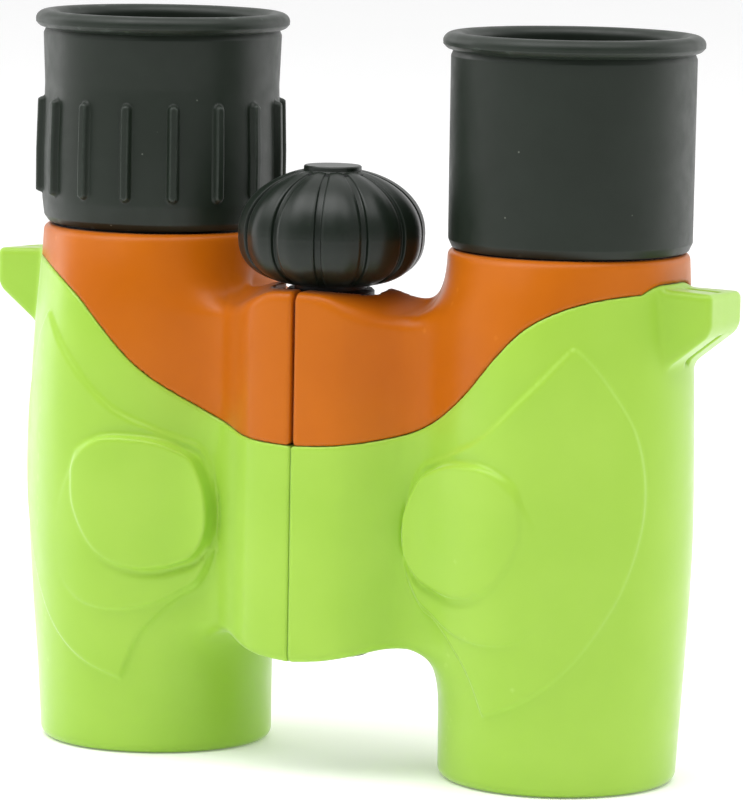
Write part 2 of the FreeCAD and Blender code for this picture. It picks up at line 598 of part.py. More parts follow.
# ---------------------------------------------------------------- hinge hardware
def hinge_hardware():
    pin = turned("hinge_pin", [
        ("0*pin", "pin_base"), ("pin_head", "pin_base"), ("pin_head", "pin_head_top"),
        ("pin", "pin_head_top"), ("pin", "pin_top"), ("0*pin", "pin_top")])
    on_hinge(pin)
    on_hinge(turned("hinge_sleeve", [
        ("sleeve_bore", "sleeve_base"), ("sleeve_flange", "sleeve_base"),
        ("sleeve_flange", "sleeve_step"), ("sleeve", "sleeve_step"), ("sleeve", "sleeve_top"),
        ("sleeve_bore", "sleeve_top")]))
    on_hinge(turned("hinge_cap", [
        ("0*cap", "cap_base"), ("cap - side_gap", "cap_base"), ("cap", "cap_base + side_gap"),
        ("cap", "cap_top"), ("0*cap", "cap_top")]))
    on_hinge(ring("lower_hinge_washer", "pin + slip", "washer", "left_low_top + slip",
                  "right_low_base - slip"))
    on_hinge(ring("upper_hinge_washer", "sleeve + slip", "washer", "right_high_top + slip",
                  "left_high_base - slip"))


# ---------------------------------------------------------------- build, check, export
chassis("left", [("left_low_base", "left_low_top", "pin"), ("left_high_base", "left_high_top", "sleeve")])
chassis("right", [("right_low_base", "right_low_top", "pin"),
                  ("right_high_base", "right_high_top", "sleeve")])
for side in SIDES:
    armour(side)
    objective(side)
    prisms(side)
    eyepiece(side)
    focus_cell(side)
eyecups()
focus_drive()
hinge_hardware()

doc.recompute()
for obj in doc.Objects:
    if {"Invalid", "Error"} & set(obj.State):
        raise RuntimeError("%s failed: %s" % (obj.Label, obj.State))
os.makedirs("parts", exist_ok=True)
for obj in subparts:
    shape = obj.Shape
    if shape.isNull() or not shape.isValid() or not shape.Solids:
        raise RuntimeError("%s has no valid solid" % obj.Label)
for obj in subparts:
    obj.Shape.exportStep("parts/%s.step" % obj.Label)
    box = obj.Shape.BoundBox
    print("%-28s solids %d volume %9.1f z %6.2f to %6.2f" % (
        obj.Label, len(obj.Shape.Solids), obj.Shape.Volume, box.ZMin, box.ZMax))
print(len(subparts), "sub-parts")
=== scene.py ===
"""Looks of the compact child's binoculars: lime green and orange armour, black rubber cups and wheel.

Blender works in metres, and every shape here is worked out in millimetres and scaled once, when
its mesh is made. The armour is one smooth body per half, so it is made as a signed distance field
(negative inside), meshed on a fine grid, evened out and pulled onto the field.
"""
import json
import math

import bpy
import numpy as np
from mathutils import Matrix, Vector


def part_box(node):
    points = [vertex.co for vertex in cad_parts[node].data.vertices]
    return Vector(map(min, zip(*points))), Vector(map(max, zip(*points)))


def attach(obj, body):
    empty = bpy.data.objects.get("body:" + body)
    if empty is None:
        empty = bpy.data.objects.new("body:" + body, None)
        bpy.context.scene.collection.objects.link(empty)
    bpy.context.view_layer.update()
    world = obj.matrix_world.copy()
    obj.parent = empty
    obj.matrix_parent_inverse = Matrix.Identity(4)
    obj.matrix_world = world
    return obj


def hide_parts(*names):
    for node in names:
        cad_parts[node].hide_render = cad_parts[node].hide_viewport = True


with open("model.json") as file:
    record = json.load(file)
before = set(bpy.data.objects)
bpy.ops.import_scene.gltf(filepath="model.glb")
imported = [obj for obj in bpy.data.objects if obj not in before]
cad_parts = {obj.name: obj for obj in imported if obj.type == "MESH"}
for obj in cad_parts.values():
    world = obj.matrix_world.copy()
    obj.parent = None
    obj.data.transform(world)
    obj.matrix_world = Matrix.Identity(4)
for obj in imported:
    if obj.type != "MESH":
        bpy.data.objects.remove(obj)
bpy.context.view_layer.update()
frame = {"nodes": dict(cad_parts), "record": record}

import openvdb
from mathutils import Matrix, Vector

MM = 0.001


# ---------------------------------------------------------------- places, from the frame
def span(node):
    """Lowest and highest corner of a CAD node in millimetres."""
    low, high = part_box(node)
    return np.array(low) / MM, np.array(high) / MM


def middle(node):
    """Middle of a CAD node's box in millimetres."""
    low, high = span(node)
    return (low + high) / 2


BARREL_X, BARREL_Y = middle("left_objective_cell")[:2]
HINGE_Y = middle("hinge_pin")[1]
ARMOUR_TOP = span("left_upper_armour")[1][2]
LEFT_CUP_RIM, RIGHT_CUP_RIM = span("left_eyecup")[1][2], span("right_eyecup")[1][2]

# ---------------------------------------------------------------- the armour's sizes, in millimetres
# profiles of the barrel, as (height, distance from the barrel axis)
FLANK = [(0, 15.3), (10, 16.0), (20, 16.75), (32, 17.35), (44, 17.25), (56, 16.8), (64, 16.2), (70, 15.8)]
CROWN = [(0, 15.9), (10, 17.2), (20, 18.4), (32, 19.4), (46, 19.9), (58, 19.8), (66, 18.6), (70, 17.2)]
REAR = [(0, 15.6), (20, 15.7), (44, 15.6), (70, 15.9)]
INNER_FLANK = 16.1
FORWARD_BULGE = [(10, 0), (32, 0.6), (50, 0.6), (64, 0)]       # how far forward the outer flank leans
OUTER_REACH, INNER_REACH = math.radians(52), math.radians(66)   # how far round the crown spreads
FOOT_ROUND, TOP_ROUND = 1.3, 1.0
# ridge over the hinge, and the web between ridge and barrel
RIDGE, RIDGE_FLAT = 12.35, 11.6
FOLD_FILLET, BRIDGE_FILLET = 10.0, 11.0   # between ridge and web, and between bridge and barrel
REAR_SECTOR = math.radians(68)       # where a half's hinge cover ends behind, from the X axis
WEB_X, WEB_FRONT, WEB_REAR = (4.0, 22.0), 3.3, 10.3
BRIDGE_TOP = [(4, 64.5), (7.7, 64.0), (10.3, 62.6), (12, 61.5), (14, 60.9)]    # along the slope outwards
BRIDGE_FALL = math.radians(20)       # the slope's direction, from the X axis towards the front
BRIDGE_UNDER = [(0, 15.5), (4.6, 16.0), (7.4, 16.5), (11, 17.4), (13.7, 17.85)]  # by distance sideways
PLATE_BACK, PLATE_STEP = 2.2, 61.3   # the top plate ends this far behind the hinge axis
# radii of the bridge's edges
RIDGE_ROUND, WEB_ROUND, SECTOR_ROUND = 1.5, 1.0, 0.6
BRIDGE_TOP_ROUND, BRIDGE_UNDER_ROUND, PLATE_ROUND = 1.4, 1.2, 0.3
# hollow
BORE, FOOT_BORE, FOOT_LIP = 14.4, 13.2, 1.4
HINGE_HOLLOW, HOLLOW_Z = 9.0, (16.9, 62.9)
CHANNEL_X, CHANNEL_Y, CHANNEL_Z = (4.0, 18.0), (-2.5, 8.8), (17.9, 60.4)
CAP_HOLE, COLLAR_HOLE, HOLE_OVERLAP = 6.6, 7.7, 1
HOLLOW_ROUND = 0.25
# line between the orange and the green shell, as (distance from the middle plane, height)
COLOUR_LINE = [(0, 44.2), (5.3, 44.5), (10.5, 45.2), (14.2, 46.2), (19.4, 49.0), (24.4, 53.0), (28.8, 57.9),
               (31.9, 61.1), (35.3, 63.3), (38.4, 64.6), (42, 65.4), (48, 65.6)]
COLOUR_GAP, ORANGE_SINK, LINE_ROUND = 0.08, 0.12, 0.22
# how the line rises over the lug: millimetres up, then the middle, level half and fade in degrees
LINE_RISE, LINE_RISE_MIDDLE, LINE_RISE_LEVEL, LINE_RISE_FADE = 1.1, 82, 8, 14.5
# seam between the halves, as distance from the middle plane and edge radius
GREEN_SEAM, GREEN_SEAM_ROUND = 0.06, 0.25
ORANGE_SEAM, ORANGE_SEAM_ROUND = 0.22, 0.6
# strap lug
LUG_TIP, LUG_HALF, LUG_TOP = 52.35, 5.6, 65.9
LUG_TIP_ROUND, LUG_EDGE_ROUND, LUG_FILLET = 1.0, 0.8, 1.2
LUG_FALL, LUG_TILT = 0.045, 0.04      # how steeply the top drops outwards and backwards
LUG_MID, LUG_FOOT = (52.5, 60.8), (46.4, 56.0)
SLOT_X, SLOT_LONG, SLOT_WIDE, SLOT_ROUND = 49.0, 4.6, 1.3, 0.3
# relief on the front of each barrel, as (degrees outwards from the front, height)
PAD = [(5, 41.0), (-4, 43.0), (-17, 43.4), (-31, 42.5), (-43, 40.0), (-50.5, 35.5), (-50, 30.6),
       (-41, 27.5), (-27, 25.9), (-13, 26.3), (-2, 28.6), (6, 33.5), (7, 37.2)]
DISC = [(8, 38.5), (-4, 43.0), (-17, 43.4), (-31, 42.5), (-43, 40.0), (-50.5, 36.0), (-51, 31.0),
        (-47, 26.3), (-36, 22.7), (-22, 20.6), (-6, 20.1), (7, 21.3), (16, 24.5), (17, 31.0)]
LEAF = [(24.5, 58.9), (9, 53.4), (-9, 47.3), (-27, 44.3), (-41, 42.4), (-50, 38.9), (-53, 33.0),
        (-51, 27.4), (-42, 23.3), (-30, 20.0), (-20, 16.2), (-12, 10.4), (7, 12.9), (23, 16.6),
        (37, 21.5), (51, 28.5), (59.5, 38.5), (55, 47.5), (40, 54.6), (27, 58.9)]
LEAF_CORNERS = (11,)                 # the leaf's pointed lower end
# how high each stands out and how wide its edge is
LEAF_HIGH, LEAF_EDGE = 0.5, 0.8
DISC_HIGH, DISC_EDGE = 0.45, 0.7
PAD_HIGH, PAD_DROP, PAD_EDGE = 0.9, 0.6, 0.7            # PAD_DROP is how much lower its outer side is
MOAT_DEEP, MOAT_AWAY, MOAT_WIDE = 0.28, 0.75, 0.45      # the groove round the pad's hinge side


# ---------------------------------------------------------------- distance field tools
def through(knots, at):
    """Smooth curve through (place, value) knots, level beyond both ends."""
    places, values = np.array(knots, float).T
    slopes = np.gradient(values, places)
    at = np.clip(at, places[0], places[-1])
    i = np.clip(np.searchsorted(places, at, side="right") - 1, 0, len(places) - 2)
    width = places[i + 1] - places[i]
    t = (at - places[i]) / width
    return (values[i] * (2 * t ** 3 - 3 * t ** 2 + 1) + slopes[i] * width * (t ** 3 - 2 * t ** 2 + t)
            + values[i + 1] * (3 * t ** 2 - 2 * t ** 3) + slopes[i + 1] * width * (t ** 3 - t ** 2))


def levelled(height, knots, at, reach=0.05):
    """Height over a curve turned into about the distance from it."""
    slope = (through(knots, at + reach) - through(knots, at - reach)) / (2 * reach)
    return height / np.sqrt(1 + slope ** 2)


def ease(t):
    t = np.clip(t, 0, 1)
    return t * t * (3 - 2 * t)


def merge(a, b, width):
    """Union of two bodies with a fillet about as wide as width."""
    overlap = np.clip(width - np.abs(a - b), 0, None) / width
    return np.minimum(a, b) - overlap ** 3 * width / 6


def meet(a, b, radius):
    """What two bodies share, with its new edges rounded to the radius."""
    u, v = np.maximum(a + radius, 0), np.maximum(b + radius, 0)
    return np.minimum(np.maximum(a, b), -radius) + np.hypot(u, v)


def slab(at, low, high):
    return np.maximum(low - at, at - high)


# ---------------------------------------------------------------- relief of the thumb rests
RELIEF_STEP = 0.1                                   # of the relief's own map, in millimetres
FOLD_X, FOLD_TURN, FOLD_RATE = 17.0, math.radians(-39), math.radians(4.4)   # place, turn, turn per mm
FOLD_BLEND = 3                                      # width over which the two ways of mapping blend
RELIEF_RADIUS = 18.5                                # turns an angle round the barrel into a length
RELIEF_U = np.arange(-26.0, 26.0, RELIEF_STEP)
RELIEF_Z = np.arange(4.0, 66.0, RELIEF_STEP)


def smooth_outline(points, corners=(), steps=8):
    """Closed curve through the points, in millimetres round the barrel and up, sharp at corners."""
    p = np.array(points, float) * (math.radians(1) * RELIEF_RADIUS, 1)
    n = len(p)
    curve = []
    for i in range(n):
        start, end = p[i], p[(i + 1) % n]
        leave = (end - p[i - 1]) / 2 if i not in corners else end - start
        arrive = (p[(i + 2) % n] - start) / 2 if (i + 1) % n not in corners else end - start
        length = np.linalg.norm(end - start)
        leave = leave * length / max(np.linalg.norm(leave), 1e-9)
        arrive = arrive * length / max(np.linalg.norm(arrive), 1e-9)
        for t in np.arange(steps) / steps:
            curve.append(start * (2 * t ** 3 - 3 * t ** 2 + 1) + leave * (t ** 3 - 2 * t ** 2 + t)
                         + end * (3 * t ** 2 - 2 * t ** 3) + arrive * (t ** 3 - t ** 2))
    return np.array(curve)


def inside_distance(outline):
    """Distance inside (+) or outside (-) an outline, over the relief's map."""
    u, z = np.meshgrid(RELIEF_U, RELIEF_Z, indexing="ij")
    nearest = np.full(u.shape, 1e9)
    inside = np.zeros(u.shape, bool)
    for (u0, z0), (u1, z1) in zip(outline, np.roll(outline, -1, 0)):
        du, dz = u1 - u0, z1 - z0
        t = np.clip(((u - u0) * du + (z - z0) * dz) / max(du * du + dz * dz, 1e-12), 0, 1)
        nearest = np.minimum(nearest, (u - u0 - t * du) ** 2 + (z - z0 - t * dz) ** 2)
        if z0 != z1:
            crosses = (z0 > z) != (z1 > z)
            inside ^= crosses & (u < u0 + (z - z0) / (z1 - z0) * du)
    return np.where(inside, 1, -1) * np.sqrt(nearest)


def step_up(distance, height, width):
    """A soft step of the height where the distance passes 0."""
    return height * ease(distance / width + 0.5)


def relief_map():
    """How far the front of a barrel stands out, over the relief's map."""
    u, z = np.meshgrid(RELIEF_U, RELIEF_Z, indexing="ij")
    pad = inside_distance(smooth_outline(PAD))
    disc = inside_distance(smooth_outline(DISC))
    leaf = inside_distance(smooth_outline(LEAF, LEAF_CORNERS))
    outward = ease((u + 16.5) / 21.0)               # 0 at the hinge side of the pad, 1 outside
    leaf_fade = 1 - 0.35 * ease((u - 4) / 14)       # the leaf gets lower outwards
    disc_fade = 1 - ease((u + 2) / 8)               # and the disc runs out into it
    raised = step_up(leaf, LEAF_HIGH, LEAF_EDGE) * leaf_fade
    raised += step_up(disc, DISC_HIGH, DISC_EDGE) * disc_fade
    raised += step_up(pad, 1, PAD_EDGE) * (PAD_HIGH - PAD_DROP * outward)
    moat = np.exp(-((pad + MOAT_AWAY) / MOAT_WIDE) ** 2) * (1 - outward)
    return raised - MOAT_DEEP * moat


RELIEF = relief_map()


def relief(x, y, z):
    """Smooth look-up in the relief's map. In the fold beside the ridge it runs on along x."""
    turn = round_barrel(x, y)[1]
    along_x = FOLD_TURN + (x - FOLD_X) * FOLD_RATE
    round_share = ease((x - FOLD_X) / FOLD_BLEND + 0.5)
    alpha = np.where(y < BARREL_Y, along_x + (turn - along_x) * round_share, turn)
    i = np.clip((alpha * RELIEF_RADIUS - RELIEF_U[0]) / RELIEF_STEP, 0, len(RELIEF_U) - 1.001)
    j = np.clip((z - RELIEF_Z[0]) / RELIEF_STEP, 0, len(RELIEF_Z) - 1.001)
    i0, j0 = i.astype(int), j.astype(int)
    s, t = i - i0, j - j0
    return ((RELIEF[i0, j0] * (1 - s) + RELIEF[i0 + 1, j0] * s) * (1 - t)
            + (RELIEF[i0, j0 + 1] * (1 - s) + RELIEF[i0 + 1, j0 + 1] * s) * t)


# ---------------------------------------------------------------- the armour's field, +X half
def round_barrel(x, y):
    """Distance from the barrel axis, and the angle from the front, positive outwards."""
    u, v = x - BARREL_X, y - BARREL_Y
    return np.hypot(u, v), np.arctan2(u, -v)


def barrel_skin(x, y, z):
    """A barrel between its flanks, its rear and the crown in front."""
    distance, alpha = round_barrel(x, y)
    outer = through(FLANK, z)
    side = np.sin(alpha) ** 2
    flank = np.where(alpha >= 0, outer + through(FORWARD_BULGE, z) * np.cos(alpha), INNER_FLANK)
    mean = (outer + INNER_FLANK) / 2
    front = mean * (1 - side) + flank * side
    back = through(REAR, z) * (1 - side) + flank * side
    base = np.where(np.cos(alpha) >= 0, front, back)
    reach = np.where(alpha >= 0, OUTER_REACH, INNER_REACH)
    crown = (through(CROWN, z) - mean) * (1 - ease(np.abs(alpha) / reach))
    return distance - base - crown


def bridge_skin(x, y, z):
    """The half ridge over the hinge and the web that joins it to the barrel."""
    back = y - HINGE_Y
    rear = back * math.cos(REAR_SECTOR) - x * math.sin(REAR_SECTOR)
    ridge = meet(np.hypot(x, back) - RIDGE, -RIDGE_FLAT - back, RIDGE_ROUND)
    web = meet(slab(x, *WEB_X), slab(back, -WEB_FRONT, WEB_REAR), WEB_ROUND)
    outline = merge(ridge, web, FOLD_FILLET)
    outwards = x * math.cos(BRIDGE_FALL) - back * math.sin(BRIDGE_FALL)
    top = levelled(z - through(BRIDGE_TOP, outwards), BRIDGE_TOP, outwards)
    body = meet(outline, top, BRIDGE_TOP_ROUND)
    body = meet(body, levelled(through(BRIDGE_UNDER, x) - z, BRIDGE_UNDER, x), BRIDGE_UNDER_ROUND)
    body = meet(body, rear, SECTOR_ROUND)
    return meet(body, np.minimum(back - PLATE_BACK, z - PLATE_STEP), PLATE_ROUND)


def lug_skin(x, y, z):
    """The strap lug: a block with a slanted underside."""
    run, rise = LUG_MID[0] - LUG_FOOT[0], LUG_MID[1] - LUG_FOOT[1]
    length = math.hypot(run, rise)
    under = ((x - LUG_FOOT[0]) * rise - (z - LUG_FOOT[1]) * run) / length
    top = z - LUG_TOP + LUG_FALL * (x - LUG_TIP) + LUG_TILT * (y - BARREL_Y + LUG_HALF)
    profile = meet(meet(under, x - LUG_TIP, LUG_TIP_ROUND), top, LUG_EDGE_ROUND)
    block = meet(profile, np.abs(y - BARREL_Y) - LUG_HALF, LUG_EDGE_ROUND)
    return np.maximum(block, BARREL_X + BORE - x)


def hollow(x, y, z):
    """The space inside a half for the chassis, the hinge and the focus arm."""
    distance = round_barrel(x, y)[0]
    back = y - HINGE_Y
    from_hinge = np.hypot(x, back)
    space = np.minimum(np.maximum(distance - BORE, FOOT_LIP - z), distance - FOOT_BORE)
    space = np.minimum(space, np.maximum(from_hinge - HINGE_HOLLOW, slab(z, *HOLLOW_Z)))
    space = np.minimum(space, np.maximum(from_hinge - CAP_HOLE, z - HOLLOW_Z[0] - HOLE_OVERLAP))
    space = np.minimum(space, np.maximum(from_hinge - COLLAR_HOLE, HOLLOW_Z[1] - HOLE_OVERLAP - z))
    channel = np.maximum(slab(x, *CHANNEL_X), np.maximum(slab(back, *CHANNEL_Y), slab(z, *CHANNEL_Z)))
    return np.minimum(space, channel)


def above_line(x, y, z):
    """Distance above the line where the orange shell meets the green one."""
    alpha = np.degrees(round_barrel(x, y)[1])
    beside = (np.abs(alpha - LINE_RISE_MIDDLE) - LINE_RISE_LEVEL) / LINE_RISE_FADE
    over_lug = LINE_RISE * (1 - np.clip(beside, 0, 1) ** 2)
    return levelled(z - through(COLOUR_LINE, x) - over_lug, COLOUR_LINE, x)


def green_field(x, y, z):
    """The lower shell, with the relief, the lug and its strap slot."""
    barrel = meet(barrel_skin(x, y, z), -z, FOOT_ROUND)
    body = merge(bridge_skin(x, y, z), barrel, BRIDGE_FILLET) - relief(x, y, z)
    body = merge(body, lug_skin(x, y, z), LUG_FILLET)
    slot = np.maximum(np.abs(x - SLOT_X) - SLOT_LONG / 2, np.abs(y - BARREL_Y) - SLOT_WIDE / 2)
    body = meet(body, -np.maximum(slot, LUG_FOOT[1] - z), SLOT_ROUND)
    body = meet(body, above_line(x, y, z) + COLOUR_GAP / 2, LINE_ROUND)
    body = meet(body, -hollow(x, y, z), HOLLOW_ROUND)
    return meet(body, GREEN_SEAM - x, GREEN_SEAM_ROUND)


def orange_field(x, y, z):
    """The upper shell, a little lower than the green one's skin."""
    barrel = meet(barrel_skin(x, y, z), z - ARMOUR_TOP, TOP_ROUND)
    body = merge(bridge_skin(x, y, z), barrel, BRIDGE_FILLET) + ORANGE_SINK
    body = meet(body, COLOUR_GAP / 2 - above_line(x, y, z), LINE_ROUND)
    body = meet(body, -hollow(x, y, z), HOLLOW_ROUND)
    return meet(body, ORANGE_SEAM - x, ORANGE_SEAM_ROUND)


# ---------------------------------------------------------------- from field to mesh
VOXEL = 0.36                                        # grid step in millimetres
BLOCK = 8                                           # grid points along a block's side
FAR_VALUE = 3                                       # grid steps, the field's size away from its surface
STEEPEST = 1.4                                      # of the fields, where a true distance has 1
BATCHES = 24                                        # keep the memory needed small
LEAST_STEEPNESS, LONGEST_SHIFT = 0.05, 0.25         # limits on one step of settle


def sample(field, low, shape, step):
    """The field on a grid, worked out only in the blocks near its surface."""
    counts = [math.ceil(n / BLOCK) for n in shape]
    half = BLOCK * step / 2
    blocks = np.stack(np.meshgrid(*[np.arange(n) for n in counts], indexing="ij"), -1).reshape(-1, 3)
    centres = low + blocks * BLOCK * step + half
    rough = field(*centres.T)
    near = np.abs(rough) < STEEPEST * math.sqrt(3) * half + step
    values = np.repeat(np.sign(rough)[:, None] * FAR_VALUE * step, BLOCK ** 3, axis=1)
    inner = np.stack(np.meshgrid(*[np.arange(BLOCK)] * 3, indexing="ij"), -1).reshape(-1, 3)
    for part in np.array_split(np.nonzero(near)[0], BATCHES):
        points = low + (blocks[part][:, None] * BLOCK + inner[None]) * step
        values[part] = field(*points.reshape(-1, 3).T).reshape(len(part), -1)
    values = values.reshape(*counts, BLOCK, BLOCK, BLOCK).transpose(0, 3, 1, 4, 2, 5)
    return values.reshape([n * BLOCK for n in counts]).astype(np.float32)


def gradient(field, points, reach=0.04):
    """The field's slope at each point, by differences over the reach."""
    slopes = []
    for axis in np.eye(3):
        ahead, behind = points + axis * reach, points - axis * reach
        slopes.append((field(*ahead.T) - field(*behind.T)) / (2 * reach))
    return np.stack(slopes, -1)


def settle(field, points, rounds):
    """Pull points onto the field's surface."""
    for _ in range(rounds):
        slope = gradient(field, points)
        steepness = np.maximum((slope ** 2).sum(1), LEAST_STEEPNESS)
        shift = -slope * (field(*points.T) / steepness)[:, None]
        length = np.maximum(np.linalg.norm(shift, axis=1), 1e-9)
        points = points + shift * np.minimum(1, LONGEST_SHIFT / length)[:, None]
    return points


def relaxed(points, quads):
    """Each point moved half-way to the middle of its neighbours."""
    ends = np.concatenate([quads[:, [i, (i + 1) % 4]] for i in range(4)])
    ends = np.concatenate([ends, ends[:, ::-1]])
    count = np.bincount(ends[:, 0], minlength=len(points))
    total = [np.bincount(ends[:, 0], points[ends[:, 1], k], len(points)) for k in range(3)]
    return (points + np.stack(total, -1) / np.maximum(count, 1)[:, None]) / 2


def carved(field, low, high):
    """Points and quads of the field's surface within a box."""
    low, high = np.array(low, float), np.array(high, float)
    shape = np.ceil((high - low) / VOXEL).astype(int) + 1
    grid = openvdb.FloatGrid(FAR_VALUE * VOXEL)
    grid.copyFromArray(sample(field, low, shape, VOXEL))
    points, quads = grid.convertToQuads(0.0)
    points = settle(field, low + points.astype(float) * VOXEL, 1)
    for rounds in (1, 1, 3):
        points = settle(field, relaxed(points, quads), rounds)
    return points, quads


def new_piece(name, points, faces, body, material, replaces=()):
    """A smooth mesh from points in millimetres, riding on a body."""
    mesh = bpy.data.meshes.new(name)
    mesh.from_pydata((np.asarray(points) * MM).tolist(), [], [list(map(int, f)) for f in faces])
    mesh.validate()
    mesh.shade_smooth()
    piece = bpy.data.objects.new(name, mesh)
    bpy.context.scene.collection.objects.link(piece)
    mesh.materials.append(material)
    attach(piece, body)
    if replaces:
        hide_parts(*replaces)
    return piece


def armour(materials):
    """Both shells of both halves. The halves mirror each other, so the second one's quads are reversed."""
    shells = {                                      # field, the box it lies in, material slot
        "lower": (green_field, (-0.5, -20, -0.8), (54, 20.5, 68.5), "green_armour"),
        "upper": (orange_field, (-0.5, -20, 43), (49, 20.5, 71), "orange_armour"),
    }
    for level, (field, low, high, slot) in shells.items():
        points, quads = carved(field, low, high)
        for side, sign in (("left", 1), ("right", -1)):
            placed = points * (sign, 1, 1)
            node = "%s_%s_armour" % (side, level)
            new_piece(node + "_shell", placed, quads[:, ::sign], side + "_half", materials[slot],
                      [node])


# ---------------------------------------------------------------- turned pieces
def rounded(corners, arc_steps=5):
    """Path through (radius, height, fillet) corners with each fillet as an arc. Closed."""
    points = []
    n = len(corners)
    for i, (r, z, fillet) in enumerate(corners):
        here = np.array([r, z])
        before, after = np.array(corners[i - 1][:2]) - here, np.array(corners[(i + 1) % n][:2]) - here
        if not fillet:
            points.append(here)
            continue
        to_before, to_after = before / np.linalg.norm(before), after / np.linalg.norm(after)
        half = math.acos(np.clip(to_before @ to_after, -1, 1)) / 2
        reach = fillet / math.tan(half)
        between = to_before + to_after
        centre = here + between / np.linalg.norm(between) * fillet / math.sin(half)
        start, end = here + to_before * reach - centre, here + to_after * reach - centre
        sweep = math.pi - 2 * half
        for t in np.linspace(0, 1, arc_steps + 1):
            a, b = math.sin((1 - t) * sweep) / math.sin(sweep), math.sin(t * sweep) / math.sin(sweep)
            points.append(centre + start * a + end * b)
    return np.array(points)


def subdivided(path, longest):
    """A closed path with points added until no piece of it is longer than longest."""
    out = []
    for start, end in zip(path, np.roll(path, -1, 0)):
        steps = max(1, math.ceil(np.linalg.norm(end - start) / longest))
        out += [start + (end - start) * k / steps for k in range(steps)]
    return np.array(out)


def wrapped(rows):
    """Quads of a grid of points that closes on itself both ways."""
    count, around = rows.shape[:2]
    index = np.arange(count * around).reshape(count, around)
    below, right = np.roll(index, -1, 0), np.roll(index, -1, 1)
    quads = np.stack([index, right, np.roll(right, -1, 0), below], -1).reshape(-1, 4)
    return rows.reshape(-1, 3), quads


def turned(path, angles, centre, swell):
    """Closed path turned about an upright axis. swell gives extra radius at (angle, radius, height)."""
    r, z = path[:, 0][:, None], path[:, 1][:, None]
    angle = angles if angles.ndim == 2 else np.broadcast_to(angles, (len(path), len(angles)))
    radius = r + swell(angle, r, z)
    rows = np.stack([centre[0] + radius * np.cos(angle), centre[1] + radius * np.sin(angle),
                     np.broadcast_to(z, angle.shape)], -1)
    return wrapped(rows)


# ---------------------------------------------------------------- eyecups
CUP_WALL, CUP_MOUTH, BEAD_OUTER, BEAD_HIGH = 16.0, 14.1, 17.12, 1.2
UNDER_BEAD = [(0.06, 3.1, 0.5), (-0.22, 2.45, 0.25)]     # (proud of the wall, below the rim, fillet)
BEAD_START, BEAD_END, BEAD_TURN = -54, 180, 6           # degrees round the bead's section
MOUTH_LINE = 2.4                                        # below the rim, where the bead meets the mouth
CUP_STEP, CUP_CHAMFER = 84.0, (0.3, 0.4)
PARTING_HIGH, PARTING_DOWN, PARTING_WIDE = 0.07, 1.6, 0.1
LEFT_CUP_BORE, RIGHT_CUP_BORE = 12.88, 14.03
LEFT_CUP_GAP, RIGHT_CUP_GAP = 0.12, 0.2                 # above the armour
RIBS, RIB_PHASE = 16, math.radians(-57.0)
RIB_LOW, RIB_HIGH, RIB_WIDTH, RIB_PROUD, RIB_FLANK = 74.2, 87.2, 1.45, 0.9, 0.5
RIB_ZONE = 1.25                                         # half-width of the fine mesh at a rib


def cup_path(rim, base, bore, foot):
    """Section of an eyecup: foot corners, wall, bead round the rim, and the stepped bore."""
    bead_r, bead_wide = (BEAD_OUTER + CUP_MOUTH) / 2, (BEAD_OUTER - CUP_MOUTH) / 2
    bead_z = rim - BEAD_HIGH
    wall = [(bore, base, 0.15)] + foot
    wall += [(CUP_WALL + proud, rim - below, fillet) for proud, below, fillet in UNDER_BEAD]
    path = list(rounded(wall + [(bead_r, bead_z, 0)]))[:-1]
    for turn in np.radians(np.arange(BEAD_START, BEAD_END + 1, BEAD_TURN)):
        path.append((bead_r + bead_wide * math.cos(turn), bead_z + BEAD_HIGH * math.sin(turn)))
    path += [(CUP_MOUTH, rim - MOUTH_LINE), (CUP_MOUTH, CUP_STEP + CUP_CHAMFER[1]),
             (CUP_MOUTH - CUP_CHAMFER[0], CUP_STEP), (bore, CUP_STEP)]
    return np.array([tuple(p) for p in path])


